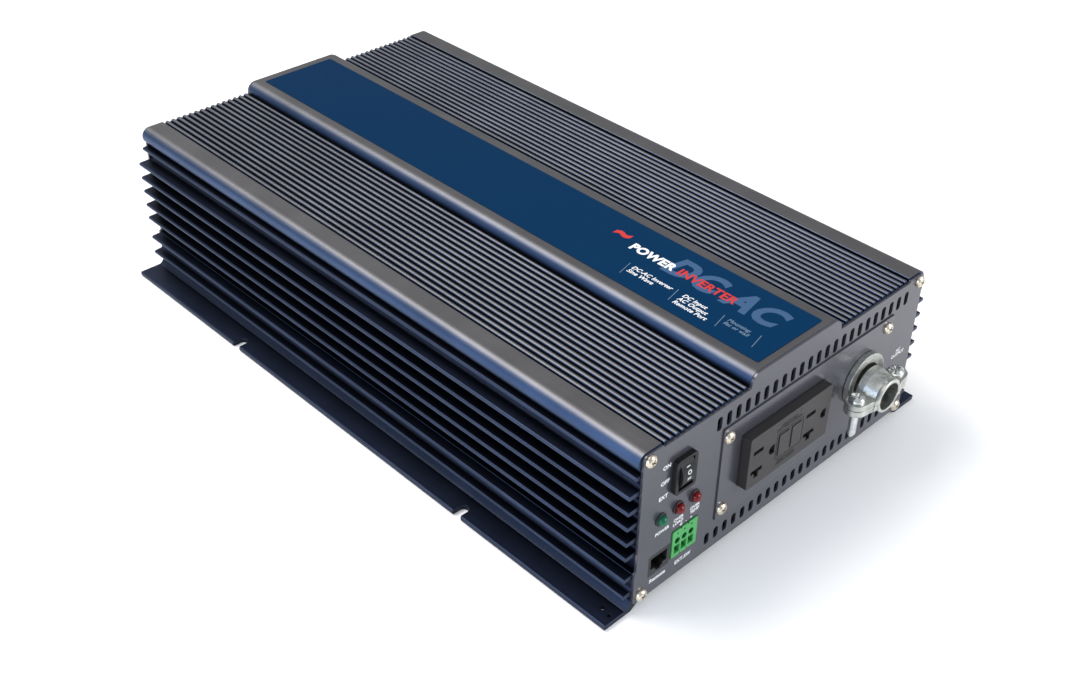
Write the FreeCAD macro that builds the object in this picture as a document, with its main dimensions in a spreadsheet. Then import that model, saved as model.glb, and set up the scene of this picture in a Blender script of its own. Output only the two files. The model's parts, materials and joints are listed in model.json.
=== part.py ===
import FreeCAD, Part
import math
import os

# DC to AC power inverter in a finned aluminium case. Millimetres, +Z up, +Y to the rear.
# The origin is on the mounting plane, in the middle of the footprint.

V = FreeCAD.Vector
UP = V(0, 0, 1)
ACROSS = V(1, 0, 0)
BACKWARD = V(0, 1, 0)

# ---------------------------------------------------------------- driving dimensions

SIZES = {
    "bodyLength": 420.0,
    "topHeight": 106.0,
    "bandHeight": 100.5,
    "seamHeight": 26.0,
    "coverHalfWidth": 110.5,
    "baseHalfWidth": 113.3,
    "finTip": 119.6,
    "flangeHalfWidth": 131.4,
    "flangeThickness": 3.0,
    "wallThickness": 3.0,
    "ribCount": 15,
    "ribWidth": 2.6,
    "grooveWidth": 1.5,
    "ribStart": 36.2,
    "panelThickness": 1.5,
    "plateThickness": 0.8,
    "labelHalfWidth": 25.9,
    "labelThickness": 0.25,
    "slotSpacing": 203.2,
    "slotWidth": 6.0,
    "ventCount": 23,
    "ventPitch": 7.08,
    "ventWidth": 3.6,
    "boardThickness": 1.6,
    "fanSize": 60.0,
    "fanDepth": 25.0,
    "bladeSpacing": 12.7,
    "contactPitch": 5.08,
}

doc = FreeCAD.newDocument("power_inverter")
sheet = doc.addObject("Spreadsheet::Sheet", "sizes")
for row, (name, value) in enumerate(SIZES.items(), start=1):
    sheet.set("A%d" % row, name)
    sheet.set("B%d" % row, "%g" % value)
    sheet.setAlias("B%d" % row, name)
doc.recompute()

FRONT = -SIZES["bodyLength"] / 2
REAR = SIZES["bodyLength"] / 2
PANEL_FACE = FRONT - SIZES["panelThickness"]
PLATE_FACE = PANEL_FACE - SIZES["plateThickness"]
REAR_FACE = REAR + SIZES["panelThickness"]

subparts = []

# ---------------------------------------------------------------- outline helpers


def arc_by(x, y):
    """The point an arc passes through, written between its two ends."""
    return ("arc", x, y)


def outline(points):
    """Edges of one closed outline. Plain pairs are corners, arc_by() bends the side between two."""
    corners = [p for p in points if len(p) == 2]
    bends = {}
    seen = 0
    for p in points:
        if len(p) == 2:
            seen += 1
        else:
            bends[seen - 1] = p[1:]
    edges = []
    for i, start in enumerate(corners):
        end = corners[(i + 1) % len(corners)]
        a = V(start[0], start[1], 0)
        b = V(end[0], end[1], 0)
        if i in bends:
            edges.append(Part.Arc(a, V(bends[i][0], bends[i][1], 0), b))
        else:
            edges.append(Part.LineSegment(a, b))
    return edges


def mirrored(points):
    """The same walk on the other side of the centre line, in the opposite direction."""
    flipped = []
    for p in reversed(points):
        flipped.append((-p[0], p[1]) if len(p) == 2 else ("arc", -p[1], p[2]))
    return flipped


def both_sides(right, left=None):
    """A closed outline from its right half, and its left half where that differs."""
    return outline(right + mirrored(left or right))


def rectangle(x0, y0, x1, y1, radius=0.0):
    """A rectangle with square or rounded corners."""
    if radius == 0.0:
        return outline([(x0, y0), (x1, y0), (x1, y1), (x0, y1)])
    r = radius
    k = r * (1 - math.sqrt(0.5))
    return outline([
        (x0 + r, y0), (x1 - r, y0), arc_by(x1 - k, y0 + k), (x1, y0 + r),
        (x1, y1 - r), arc_by(x1 - k, y1 - k), (x1 - r, y1),
        (x0 + r, y1), arc_by(x0 + k, y1 - k), (x0, y1 - r),
        (x0, y0 + r), arc_by(x0 + k, y0 + k),
    ])


def centred(x, y, width, height, radius=0.0):
    """A rectangle given by its middle."""
    return rectangle(x - width / 2, y - height / 2, x + width / 2, y + height / 2, radius)


def disc(x, y, radius):
    """A circle."""
    return [Part.Circle(V(x, y, 0), V(0, 0, 1), radius)]


def upright_slot(x, y, width, height):
    """A round-ended vertical slot."""
    r = width / 2
    h = height / 2 - r
    return outline([
        (x - r, y - h), arc_by(x, y - h - r), (x + r, y - h),
        (x + r, y + h), arc_by(x, y + h + r), (x - r, y + h),
    ])


def hexagon(x, y, flats):
    """A hexagon given by its width across flats."""
    r = flats / math.sqrt(3)
    corners = [(x + r * math.cos(math.radians(60 * k)), y + r * math.sin(math.radians(60 * k)))
               for k in range(6)]
    return outline(corners)


# ---------------------------------------------------------------- body helpers


def bind(item, name, value):
    """Drive a property by an expression, or by a plain number."""
    item.setExpression(name, value if isinstance(value, str) else "%g" % value)


def new_body(label):
    """An empty body that becomes one sub-part."""
    body = doc.addObject("PartDesign::Body", "Body")
    body.Label = label
    body.Placement = FreeCAD.Placement()
    subparts.append(body)
    return body


def sketch_on(body, role, offset, outlines):
    """A sketch on one of the body's own origin planes, moved along that plane's normal."""
    plane = next(f for f in body.Origin.OriginFeatures if f.Role == role)
    sketch = body.newObject("Sketcher::SketchObject", "Sketch")
    sketch.AttachmentSupport = [(plane, "")]
    sketch.MapMode = "FlatFace"
    bind(sketch, "AttachmentOffset.Base.z", offset)
    sketch.addGeometry([edge for shape in outlines for edge in shape], False)
    return sketch


def add(body, sketch, length, backward):
    """Pad a sketch, then make it the body's tip."""
    pad = body.newObject("PartDesign::Pad", "Pad")
    pad.Profile = sketch
    pad.Reversed = backward
    bind(pad, "Length", length)
    body.Tip = pad
    doc.recompute()
    return pad


def remove(body, sketch, length):
    """Cut a pocket and make sure that it took material away."""
    before = body.Shape.Volume
    pocket = body.newObject("PartDesign::Pocket", "Pocket")
    pocket.Profile = sketch
    bind(pocket, "Length", length)
    body.Tip = pocket
    doc.recompute()
    if body.Shape.Volume > before - 1e-6:
        raise RuntimeError("a pocket missed the material of " + body.Label)
    return pocket


def add_y(body, y0, length, *outlines):
    """Pad outlines drawn in X and Z, from y0 to the rear."""
    return add(body, sketch_on(body, "XZ_Plane", -y0, outlines), length, True)


def add_z(body, z0, length, *outlines):
    """Pad outlines drawn in X and Y, from z0 upwards."""
    return add(body, sketch_on(body, "XY_Plane", z0, outlines), length, False)


def add_x(body, x0, length, *outlines):
    """Pad outlines drawn in Y and Z, from x0 to the right."""
    return add(body, sketch_on(body, "YZ_Plane", x0, outlines), length, False)


def cut_y(body, y0, length, *outlines):
    """Cut outlines drawn in X and Z, from y0 to the rear."""
    return remove(body, sketch_on(body, "XZ_Plane", -y0, outlines), length)


def cut_z(body, z1, length, *outlines):
    """Cut outlines drawn in X and Y, from z1 downwards."""
    return remove(body, sketch_on(body, "XY_Plane", z1, outlines), length)


def cut_x(body, x1, length, *outlines):
    """Cut outlines drawn in Y and Z, from x1 to the left."""
    return remove(body, sketch_on(body, "YZ_Plane", x1, outlines), length)


def shaped(label, shapes):
    """A sub-part made of one or more ready solids."""
    feature = doc.addObject("Part::Feature", "Shape")
    feature.Label = label
    feature.Shape = Part.makeCompound([solid for shape in shapes for solid in shape.Solids])
    feature.Placement = FreeCAD.Placement()
    subparts.append(feature)
    return feature


def block(x0, x1, y0, y1, z0, z1):
    """A box by its limits."""
    return Part.makeBox(x1 - x0, y1 - y0, z1 - z0, V(x0, y0, z0))


def rod(start, direction, length, radius):
    """A cylinder from a start point."""
    return Part.makeCylinder(radius, length, V(*start), direction)


def turned(start, direction, profile):
    """A turned piece: profile is (distance along the axis, radius) pairs, closed on the axis."""
    points = [V(profile[0][0], 0, 0)]
    points += [V(along, radius, 0) for along, radius in profile]
    points += [V(profile[-1][0], 0, 0), V(profile[0][0], 0, 0)]
    clean = [points[0]]
    for point in points[1:]:
        if point.distanceToPoint(clean[-1]) > 1e-6:
            clean.append(point)
    solid = Part.Face(Part.makePolygon(clean)).revolve(V(0, 0, 0), V(1, 0, 0), 360)
    turn = FreeCAD.Rotation(V(1, 0, 0), direction)
    solid.Placement = FreeCAD.Placement(V(*start), turn)
    return solid


def fused(shapes):
    """One clean solid from several overlapping ones."""
    return shapes[0].multiFuse(shapes[1:]).removeSplitter()


def curve_tube(points, radius):
    """A round wire bent smoothly through the points."""
    curve = Part.BSplineCurve()
    curve.interpolate([V(*p) for p in points])
    start = curve.value(curve.FirstParameter)
    tangent = curve.tangent(curve.FirstParameter)[0]
    ring = Part.Wire([Part.makeCircle(radius, start, tangent)])
    return Part.Wire([curve.toShape()]).makePipeShell([ring], True, False)


def pan_screw(x, y, z, direction, head, rise, shank, length, recess):
    """A pan-head screw with a cross recess. The point given is under the head, on the axis."""
    profile = [
        (-rise, 0.0), (-rise, head * 0.45), (-rise * 0.86, head * 0.72), (-rise * 0.55, head * 0.93),
        (-rise * 0.2, head), (0.0, head), (0.0, shank), (length - shank, shank), (length, shank * 0.35),
    ]
    screw = turned((0, 0, 0), ACROSS, profile)
    arm = block(-rise - 1, -rise + recess, -head * 0.52, head * 0.52, -head * 0.11, head * 0.11)
    cross = arm.fuse(arm.rotated(V(0, 0, 0), ACROSS, 90))
    screw = screw.cut(cross.rotated(V(0, 0, 0), ACROSS, 25))
    screw.Placement = FreeCAD.Placement(V(x, y, z), FreeCAD.Rotation(ACROSS, direction))
    return screw


# ---------------------------------------------------------------- the two extrusions

CORNER_X = 108.0
UPPER_SCREW_Z = 95.6
LOWER_SCREW_Z = 9.3
CHANNEL_RADIUS = 5.0
CHANNEL_HOLE = 1.9


def fin(wall, tip, z, above, below):
    """One side fin, walked from above it to below it. above and below are its root fillets."""
    half = 1.35
    nose = 1.15
    up = above * (1 - math.sqrt(0.5))
    down = below * (1 - math.sqrt(0.5))
    return [
        (wall, z + half + above), arc_by(wall + up, z + half + up), (wall + above, z + half),
        (tip - nose, z + nose), arc_by(tip, z), (tip - nose, z - nose),
        (wall + below, z - half), arc_by(wall + down, z - half - down), (wall, z - half - below),
    ]


def top_ribs():
    """The lengthwise ribs of one half of the top, from the raised centre to the flat band."""
    valley = 97.8
    walk = [(SIZES["ribStart"], valley)]
    pitch = SIZES["ribWidth"] + SIZES["grooveWidth"]
    for k in range(SIZES["ribCount"]):
        x0 = SIZES["ribStart"] + SIZES["grooveWidth"] + k * pitch
        x1 = x0 + SIZES["ribWidth"]
        walk += [(x0, valley), (x0, 99.3), arc_by((x0 + x1) / 2, 100.2), (x1, 99.3), (x1, valley)]
    band = SIZES["ribStart"] + SIZES["ribCount"] * pitch + SIZES["grooveWidth"]
    walk += [(band, valley), (band, 100.0), arc_by(band + 0.15, 100.35), (band + 0.5, 100.5)]
    return walk


def top_cover():
    """Cover extrusion: raised centre, ribbed top, rolled corners and six fins on each side."""
    wall = SIZES["coverHalfWidth"]
    top = SIZES["topHeight"]
    inner = wall - SIZES["wallThickness"]
    half = [(30.2, top), arc_by(34.46, 104.24), (36.2, 99.5)]
    half += top_ribs()
    half += [(108.9, SIZES["bandHeight"]), arc_by(114.21, 96.42), (111.65, 90.24), (wall, 89.9)]
    half += fin(wall, 115.6, 87.1, 1.2, 2.2)
    for z in (77.7, 67.9, 58.3, 48.4, 38.8):
        half += fin(wall, SIZES["finTip"], z, 2.2, 2.2)
    half += [
        (wall, SIZES["seamHeight"]), (inner, SIZES["seamHeight"]), (inner, 90.625),
        arc_by(104.464, 92.064), (103.064, 94.8), (33.5, 94.8), (29.0, top - 3.0),
    ]
    body = new_body("top_cover")
    channels = [disc(side * CORNER_X, UPPER_SCREW_Z, CHANNEL_HOLE) for side in (-1, 1)]
    add_y(body, FRONT, "sizes.bodyLength", both_sides(half), *channels)


def base_extrusion():
    """Base extrusion: floor, low walls with two fins, and the wide slotted mounting flanges."""
    wall = SIZES["baseHalfWidth"]
    seam = SIZES["seamHeight"]
    edge = SIZES["flangeHalfWidth"]
    thick = SIZES["flangeThickness"]
    half = [
        (104.0, 6.3), arc_by(103.422, 11.31), (107.5, 14.275), (107.5, 19.5), (104.7, 22.0),
        (104.7, 33.0), (107.2, 33.0), (107.2, seam), (wall, seam),
    ]
    half += fin(wall, SIZES["finTip"], 24.3, 0.3, 2.2)
    half += fin(wall, SIZES["finTip"], 13.1, 2.2, 2.2)
    half += [
        (wall, 7.2), (116.2, thick + 0.6), (117.4, thick), (edge - 0.8, thick),
        arc_by(edge - 0.23, thick - 0.23), (edge, thick - 0.8), (edge, 0.8),
        arc_by(edge - 0.23, 0.23), (edge - 0.8, 0.0), (113.0, 0.0), (107.9, 3.3),
    ]
    body = new_body("base_extrusion")
    channels = [disc(side * CORNER_X, LOWER_SCREW_Z, CHANNEL_HOLE) for side in (-1, 1)]
    add_y(body, FRONT, "sizes.bodyLength", both_sides(half), *channels)
    openings = []
    r = SIZES["slotWidth"] / 2
    for side in (-1, 1):
        for end in (-1, 1):
            y = end * SIZES["slotSpacing"] / 2
            openings.append(outline([
                (side * 134.0, y - r - 1.6), (side * 130.6, y - r), (side * 126.5, y - r),
                arc_by(side * 123.5, y), (side * 126.5, y + r), (side * 130.6, y + r),
                (side * 134.0, y + r + 1.6),
            ]))
    openings.append(disc(-123.0, FRONT + 9.3, 1.6))
    openings.append(disc(-124.6, FRONT + 3.4, 1.1))
    cut_z(body, 4.0, 6.0, *openings)


def name_label():
    """Thin face label stuck along the raised centre of the cover."""
    body = new_body("name_label")
    half = SIZES["labelHalfWidth"]
    add_z(body, "sizes.topHeight", "sizes.labelThickness",
          rectangle(-half, FRONT + 4.0, half, REAR - 4.5, 1.2))


# ---------------------------------------------------------------- end panels

LAMP_X = (-97.2, -84.9, -72.9)
LAMP_Z = 52.5
SWITCH_X = -84.0
SWITCH_Z = 75.2
RECEPTACLE_X = -6.5
RECEPTACLE_Z = 55.2
CONNECTOR_X = 63.0
CONNECTOR_Z = 53.5
PLATE_SCREWS = [(x, z) for x in (-51.1, 81.9) for z in (30.6, 77.3)]
CORNER_SCREWS = [(x, z) for x in (-CORNER_X, CORNER_X) for z in (LOWER_SCREW_Z, UPPER_SCREW_Z)]
FAN_X = 35.0
FAN_Z = 52.0
STUD_X = 86.0
STUD_Z = 58.0
GROUND_Z = 14.0


def panel_half(step):
    """Right half of an end panel, ending at a small step in its bottom edge."""
    return [
        (30.0, 105.8), arc_by(34.26, 104.06), (36.0, 99.5), (36.6, 98.3), (98.8, 98.3), (99.3, 99.5),
        (109.2, 99.5), arc_by(111.32, 98.62), (112.2, 96.5), (112.2, 27.0), (113.4, 26.0),
        (113.4, 7.3), arc_by(113.0, 6.3), (112.0, 5.9), (step, 5.9), (step, 6.3),
    ]


def corner_holes():
    return [disc(x, z, 2.3) for x, z in CORNER_SCREWS]


def vents(first, z, height):
    """A row of round-ended ventilation slots."""
    return [upright_slot(first + k * SIZES["ventPitch"], z, SIZES["ventWidth"], height)
            for k in range(SIZES["ventCount"])]


def front_panel():
    """Front end panel in sheet steel, pierced for the vents and controls."""
    body = new_body("front_panel")
    openings = corner_holes() + vents(-58.6, 89.2, 8.5) + vents(-59.3, 14.4, 7.4)
    openings += [disc(x, LAMP_Z, 3.45) for x in LAMP_X]
    openings += [disc(x, z, 1.8) for x, z in PLATE_SCREWS]
    openings.append(centred(SWITCH_X, SWITCH_Z, 13.4, 19.4))
    openings.append(rectangle(-87.8, 19.1, -68.7, 37.4))
    openings.append(rectangle(-103.6, 17.5, -88.5, 31.0))
    openings.append(centred(RECEPTACLE_X, RECEPTACLE_Z, 70.0, 36.8))
    openings.append(disc(CONNECTOR_X, CONNECTOR_Z, 14.0))
    add_y(body, PANEL_FACE, "sizes.panelThickness", both_sides(panel_half(89.0), panel_half(73.0)),
          *openings)


def rear_panel():
    """Rear end panel with two fan openings, two terminal holes and a few vents."""
    body = new_body("rear_panel")
    openings = corner_holes() + [disc(0.0, GROUND_Z, 3.0)]
    for side in (-1, 1):
        openings.append(disc(side * FAN_X, FAN_Z, 28.5))
        openings.append(disc(side * STUD_X, STUD_Z, 9.3))
        openings += [disc(side * FAN_X + dx, FAN_Z + dz, 2.4) for dx in (-25, 25) for dz in (-25, 25)]
        openings += [upright_slot(side * (68.0 + 8.0 * k), 21.0, 3.0, 11.0) for k in range(5)]
    add_y(body, REAR, "sizes.panelThickness", both_sides(panel_half(89.0)), *openings)


def panel_screws():
    """Four corner screws in each end panel, driven into the extrusions' screw channels."""
    front = [pan_screw(x, PANEL_FACE, z, BACKWARD, 3.5, 2.4, 1.85, 12.0, 1.5) for x, z in CORNER_SCREWS]
    rear = [pan_screw(x, REAR_FACE, z, -BACKWARD, 3.5, 2.4, 1.85, 12.0, 1.5) for x, z in CORNER_SCREWS]
    shaped("front_panel_screws", front)
    shaped("rear_panel_screws", rear)


# ---------------------------------------------------------------- AC outlet group


def ac_cover_plate():
    """Raised plate round the AC outlet and the cable connector, held by four screws."""
    body = new_body("ac_cover_plate")
    openings = [disc(x, z, 1.8) for x, z in PLATE_SCREWS]
    openings.append(centred(RECEPTACLE_X, RECEPTACLE_Z, 67.1, 33.9, 0.6))
    openings.append(disc(CONNECTOR_X, CONNECTOR_Z, 13.4))
    add_y(body, PLATE_FACE, "sizes.plateThickness", rectangle(-55.0, 24.0, 87.8, 83.5, 1.0), *openings)
    screws = [pan_screw(x, PLATE_FACE, z, BACKWARD, 3.5, 2.3, 1.5, 9.0, 1.3) for x, z in PLATE_SCREWS]
    shaped("ac_plate_screws", screws)


OUTLET_X = (-32.75, 9.9)
BLADE_Z = (54.55 + SIZES["bladeSpacing"] / 2, 54.55 - SIZES["bladeSpacing"] / 2)
BUTTON_Z = 54.8
BUTTON_WIDTH = 7.6
BUTTON_HEIGHT = 13.5
TEST_X = -12.3
RESET_X = -1.9


def receptacle():
    """Duplex outlet with test and reset buttons, lying on its side."""
    body = new_body("receptacle_body")
    add_y(body, -218.0, 9.5, centred(RECEPTACLE_X, RECEPTACLE_Z, 66.5, 33.3, 0.9))
    add_y(body, -208.6, 24.6, centred(RECEPTACLE_X, RECEPTACLE_Z, 69.0, 36.4, 2.0))
    holes = []
    for x in OUTLET_X:
        top = BLADE_Z[0]
        low = BLADE_Z[1]
        holes.append(centred(x, top, 7.7, 2.6))
        holes.append(outline([
            (x - 4.5, low + 1.3), (x - 4.5, low - 1.3), (x - 1.7, low - 1.3), (x - 1.7, low - 4.4),
            (x + 1.7, low - 4.4), (x + 1.7, low - 1.3), (x + 4.5, low - 1.3), (x + 4.5, low + 1.3),
        ]))
        g = x + 12.0
        holes.append(outline([(g + 1.6, 58.0), (g - 0.1, 58.0), arc_by(g - 3.0, 55.1),
                              (g - 0.1, 52.2), (g + 1.6, 52.2)]))
    cut_y(body, -218.0, 15.0, *holes)
    cut_y(body, -218.0, 10.0, centred(TEST_X, BUTTON_Z, 8.4, 14.3, 1.0),
          centred(RESET_X, BUTTON_Z, 8.4, 14.3, 1.0), disc(1.2, 68.3, 1.0))
    middle = (TEST_X + RESET_X) / 2
    cut_y(body, -218.0, 0.35, centred(middle, BUTTON_Z, 21.6, 17.4, 1.2),
          centred(middle, BUTTON_Z, 20.8, 16.6, 0.8))
    cut_y(body, -203.2, 1.6, *[centred(-11.4, z, 53.0, 5.8, 1.0) for z in BLADE_Z])
    for label, x in (("test_button", TEST_X), ("reset_button", RESET_X)):
        button = new_body(label)
        add_y(button, -218.4, 8.6, centred(x, BUTTON_Z, BUTTON_WIDTH, BUTTON_HEIGHT, 0.7))
    shaped("receptacle_lamp", [rod((1.2, -218.1, 68.3), BACKWARD, 8.0, 0.95)])
    contacts = new_body("receptacle_contacts")
    add_y(contacts, -202.8, 0.8, *[centred(-11.4, z, 52.0, 5.2, 0.8) for z in BLADE_Z])
    strap = new_body("receptacle_strap")
    add_y(strap, FRONT, 1.2, strap_outline(), centred(RECEPTACLE_X, RECEPTACLE_Z, 67.5, 34.3))


def strap_outline():
    """Mounting strap: a frame round the outlet with an ear at each end."""
    x = RECEPTACLE_X
    z = RECEPTACLE_Z
    return outline([
        (x - 37.0, z - 18.6), (x + 37.0, z - 18.6), (x + 37.0, z - 9.0), (x + 47.0, z - 9.0),
        (x + 47.0, z + 9.0), (x + 37.0, z + 9.0), (x + 37.0, z + 18.6), (x - 37.0, z + 18.6),
        (x - 37.0, z + 9.0), (x - 47.0, z + 9.0), (x - 47.0, z - 9.0), (x - 37.0, z - 9.0),
    ])


def wiring_box():
    """Steel box behind the outlet, clamped to the panel by the cover plate's screws."""
    body = new_body("wiring_box")
    add_y(body, -208.8, 1.2, rectangle(-55.0, 26.5, 86.0, 82.0, 2.0), rectangle(-47.0, 35.8, 80.2, 74.4))
    add_y(body, -208.8, 44.0, rectangle(-48.2, 34.6, 81.2, 75.6), rectangle(-47.0, 35.8, 80.2, 74.4))
    add_y(body, -164.8, 1.2, rectangle(-48.2, 34.6, 81.2, 75.6), disc(40.0, 55.0, 7.0))
    cut_y(body, -208.8, 1.2, *[disc(x, z, 1.6) for x, z in PLATE_SCREWS])


# ---------------------------------------------------------------- cable connector

FLANGE_Y = -215.6
HOOD_END_Y = -217.6
MOUTH_Y = -231.4
MOUTH_Z = 51.4
MOUTH_RADIUS = 8.2
EAR_REACH = 18.0
EAR_Y = -222.8
SADDLE_EAR_Z = 46.8
SADDLE_SPLIT_Z = 50.2
STRAP_SPLIT_Z = 50.6
STRAP_EAR_Z = 53.8
CONNECTOR_SCREW_RADIUS = 2.35


def along_connector(y, length, radius):
    """A cylinder on the axis of the connector's threaded hub."""
    return rod((CONNECTOR_X, y, CONNECTOR_Z), BACKWARD, length, radius)


def ear_holes(radius):
    """The two upright screw holes of the connector."""
    return [rod((CONNECTOR_X + side * EAR_REACH, EAR_Y, 20.0), UP, 50.0, radius) for side in (-1, 1)]


def ear_plate(z, height):
    """The flat lobed plate that takes both screws and runs across the connector's mouth."""
    shapes = [block(CONNECTOR_X - 12.0, CONNECTOR_X + 12.0, MOUTH_Y + 0.6, EAR_Y + 5.6, z, z + height)]
    for side in (-1, 1):
        x = CONNECTOR_X + side * EAR_REACH
        shapes.append(rod((x, EAR_Y, z), UP, height, 6.4))
        inner = CONNECTOR_X + side * 8.0
        web = Part.makePolygon([V(x + side * 1.0, EAR_Y - 6.3, z), V(inner, MOUTH_Y + 0.6, z),
                                V(inner, EAR_Y + 5.6, z), V(x + side * 1.0, EAR_Y + 5.6, z),
                                V(x + side * 1.0, EAR_Y - 6.3, z)])
        shapes.append(Part.Face(web).extrude(V(0, 0, height)))
    return shapes


def connector_cone(offset):
    """The connector's tapering clamp, with a thickened lip at its mouth."""
    return turned((CONNECTOR_X, MOUTH_Y, MOUTH_Z), BACKWARD, [
        (0.0, 9.5 + offset), (0.4, 9.9 + offset), (1.6, 9.9 + offset), (2.6, 9.5 + offset),
        (6.0, 10.3 + offset), (10.0, 11.4 + offset), (13.8, 11.7 + offset), (16.5, 11.7 + offset)])


def cable_connector():
    """Two-screw zinc cable connector: flanged body with a saddle, strap, screws and locknut."""
    mouth = turned((CONNECTOR_X, MOUTH_Y - 1.0, MOUTH_Z), BACKWARD, [
        (0.0, MOUTH_RADIUS), (4.4, MOUTH_RADIUS), (9.0, 8.8), (15.6, 9.9)])
    bore = along_connector(FLANGE_Y - 2.4, 20.0, 10.8)
    low = block(30, 94, -233, FLANGE_Y + 0.4, 30, SADDLE_SPLIT_Z)
    saddle = connector_cone(0.0).common(low)
    ears = ear_plate(SADDLE_EAR_Z, SADDLE_SPLIT_Z - SADDLE_EAR_Z)
    body = fused([along_connector(FLANGE_Y, 3.1, 16.2), along_connector(-213.0, 13.0, 13.0),
                  saddle] + ears)
    body = body.cut(mouth).cut(bore)
    for hole in ear_holes(CONNECTOR_SCREW_RADIUS + 0.05):
        body = body.cut(hole)
    shaped("clamp_body", [body])

    high = block(30, 94, -233, HOOD_END_Y, STRAP_SPLIT_Z, 75)
    ribs = [block(CONNECTOR_X + dx - 0.7, CONNECTOR_X + dx + 0.7, MOUTH_Y + 2.6, MOUTH_Y + 6.4, 58.0, 62.5)
            for dx in (-1.8, 1.8)]
    strap = fused([connector_cone(0.3)] + ribs + ear_plate(STRAP_SPLIT_Z, STRAP_EAR_Z - STRAP_SPLIT_Z))
    strap = strap.cut(mouth).common(high)
    for hole in ear_holes(2.75):
        strap = strap.cut(hole)
    for side in (-1, 1):
        strap = strap.cut(rod((CONNECTOR_X + side * EAR_REACH, EAR_Y, STRAP_EAR_Z), UP, 20.0, 5.1))
    shaped("clamp_strap", [strap])

    for label, side in (("clamp_screw_left", -1), ("clamp_screw_right", 1)):
        x = CONNECTOR_X + side * EAR_REACH
        screw = pan_screw(x, EAR_Y, STRAP_EAR_Z, -UP, 4.7, 2.8, CONNECTOR_SCREW_RADIUS, 24.8, 1.5)
        slot = block(x - 5, x + 5, EAR_Y - 0.55, EAR_Y + 0.55, STRAP_EAR_Z + 1.6, STRAP_EAR_Z + 4.0)
        slot.rotate(V(x, EAR_Y, STRAP_EAR_Z), UP, 25)
        shaped(label, [screw.cut(slot)])

    nut = along_connector(FRONT, 3.6, 15.4)
    lobes = [rod((CONNECTOR_X + 14.0 * math.cos(k * math.pi / 4), FRONT,
                  CONNECTOR_Z + 14.0 * math.sin(k * math.pi / 4)), BACKWARD, 3.6, 2.9) for k in range(8)]
    nut = fused([nut] + lobes).cut(along_connector(-220.0, 20.0, 13.05))
    shaped("clamp_locknut", [nut])


# ---------------------------------------------------------------- controls on the left

HINGE_Y = -210.0
PADDLE_RADIUS = 8.4


def power_switch():
    """Three-position rocker switch: housing with its bezel, and the paddle on its pivot."""
    body = new_body("switch_housing")
    add_y(body, -214.3, 2.8, centred(SWITCH_X, SWITCH_Z, 15.0, 21.0, 2.2))
    add_y(body, -211.6, 17.6, centred(SWITCH_X, SWITCH_Z, 13.0, 19.0, 0.5))
    cut_y(body, -214.3, 15.0, centred(SWITCH_X, SWITCH_Z, 10.4, 17.4, 0.4))
    cut_x(body, SWITCH_X + 6.3, 12.6, disc(HINGE_Y, SWITCH_Z, 1.25))
    for side in (-1, 0, 1):
        add_y(body, -194.2, 8.0, centred(SWITCH_X, SWITCH_Z + side * 6.0, 4.8, 0.8))

    reach = PADDLE_RADIUS
    corner_z = 7.4
    corner_y = 3.6
    back_z = math.sqrt(reach ** 2 - 9.0)
    side_y = 0.5
    side_z = math.sqrt(reach ** 2 - side_y ** 2)
    profile = [
        (HINGE_Y - corner_y, SWITCH_Z - corner_z), arc_by(HINGE_Y - corner_y - 2.6, SWITCH_Z),
        (HINGE_Y - corner_y, SWITCH_Z + corner_z), arc_by(HINGE_Y - side_y, SWITCH_Z + side_z),
        (HINGE_Y + 3.0, SWITCH_Z + back_z), (HINGE_Y + 5.0, SWITCH_Z + 2.0),
        (HINGE_Y + 5.0, SWITCH_Z - 2.0), (HINGE_Y + 3.0, SWITCH_Z - back_z),
        arc_by(HINGE_Y - side_y, SWITCH_Z - side_z),
    ]
    paddle = new_body("switch_rocker")
    add_x(paddle, SWITCH_X - 4.7, 9.4, outline(profile))
    add_x(paddle, SWITCH_X - 6.1, 12.2, disc(HINGE_Y, SWITCH_Z, 1.2))


def lamps():
    """Three indicator lamps in round collars: power on the left, two fault lamps beside it."""
    collars = []
    lenses = []
    for x in LAMP_X:
        collar = turned((x, -212.4, LAMP_Z), BACKWARD, [(0.0, 3.3), (0.3, 3.7), (0.9, 3.7), (0.9, 3.4),
                                                        (8.4, 3.4)])
        collars.append(collar.cut(rod((x, -214.0, LAMP_Z), BACKWARD, 12.0, 3.12)))
        dome = [(2.9 - 2.9 * math.cos(a), 2.9 * math.sin(a)) for a in
                [math.radians(10 * k) for k in range(1, 10)]]
        lens = turned((x, -215.6, LAMP_Z), BACKWARD, dome + [(9.0, 2.9), (9.0, 1.5), (23.4, 1.5)])
        lenses.append(lens)
    shaped("lamp_collars", collars)
    shaped("power_lamp", lenses[:1])
    shaped("fault_lamps", lenses[1:])


CONTACT_X = [-78.5 + SIZES["contactPitch"] * k for k in (-1, 0, 1)]


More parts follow.
